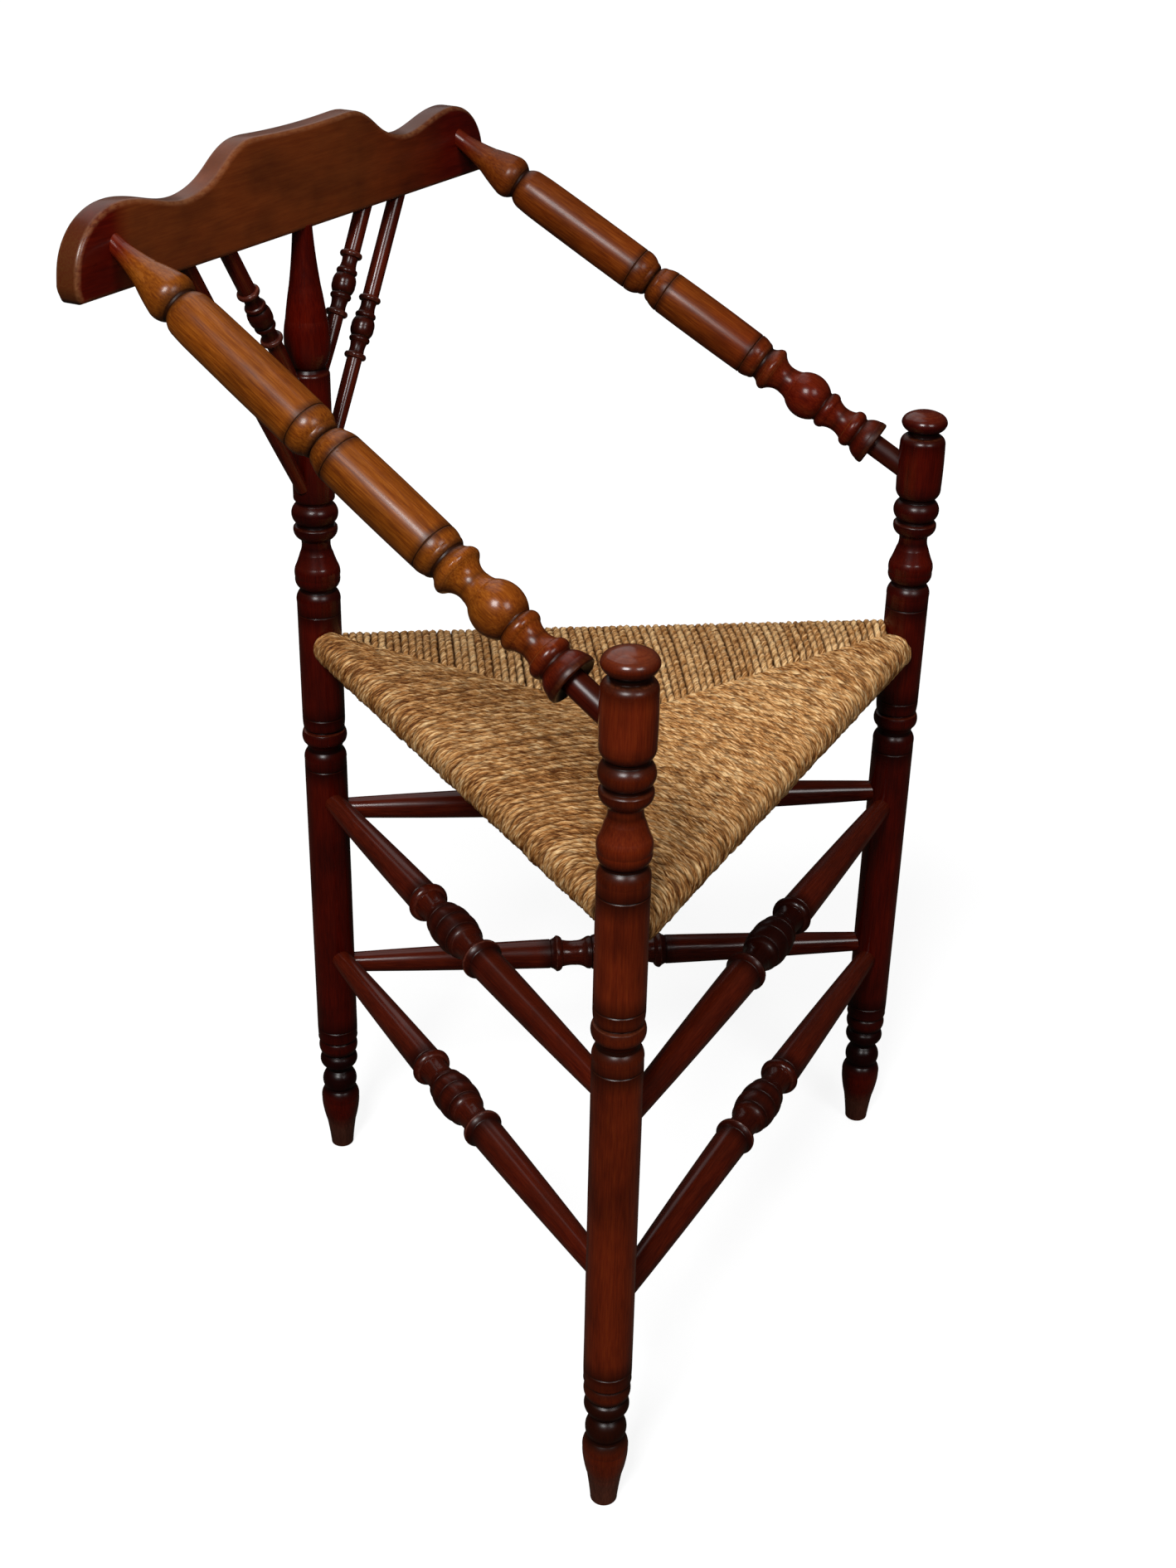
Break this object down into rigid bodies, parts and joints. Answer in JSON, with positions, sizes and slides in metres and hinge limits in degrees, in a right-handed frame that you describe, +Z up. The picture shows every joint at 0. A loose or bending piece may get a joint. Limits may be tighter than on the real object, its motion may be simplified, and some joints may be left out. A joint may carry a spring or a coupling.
{
  "type": "corner chair",
  "caption": "Corner chair with turned posts, sloping turned arms, a shaped crest board on a spindle fan, turned stretchers and a triangular rush seat.",
  "frame": {"origin": "on the floor at the middle of the footprint, halfway between the front pair of posts and the back post", "axes": "+Z up, the sitter faces -Y, +X towards the sitter's left"},
  "size_m": [0.5294, 0.4114, 0.8478],
  "materials": {
    "post_wood": "gloss",
    "arm_wood": "gloss",
    "crest_wood": "satin",
    "rail_wood": "matte",
    "rush": "matte"
  },
  "bodies": {
    "root": {"front_post_left": "post_wood", "front_post_right": "post_wood", "back_post": "post_wood", "crest_board": "crest_wood", "arm_left": "arm_wood", "arm_right": "arm_wood", "spindle_inner_left": "post_wood", "spindle_inner_right": "post_wood", "spindle_outer_left": "post_wood", "spindle_outer_right": "post_wood", "stretcher_left_upper": "post_wood", "stretcher_left_lower": "post_wood", "stretcher_right_upper": "post_wood", "stretcher_right_lower": "post_wood", "stretcher_front_upper": "post_wood", "stretcher_front_lower": "post_wood", "seat_rail_left": "rail_wood", "seat_rail_right": "rail_wood", "seat_rail_front": "rail_wood", "rush_seat": "rush"}
  },
  "joints": []
}
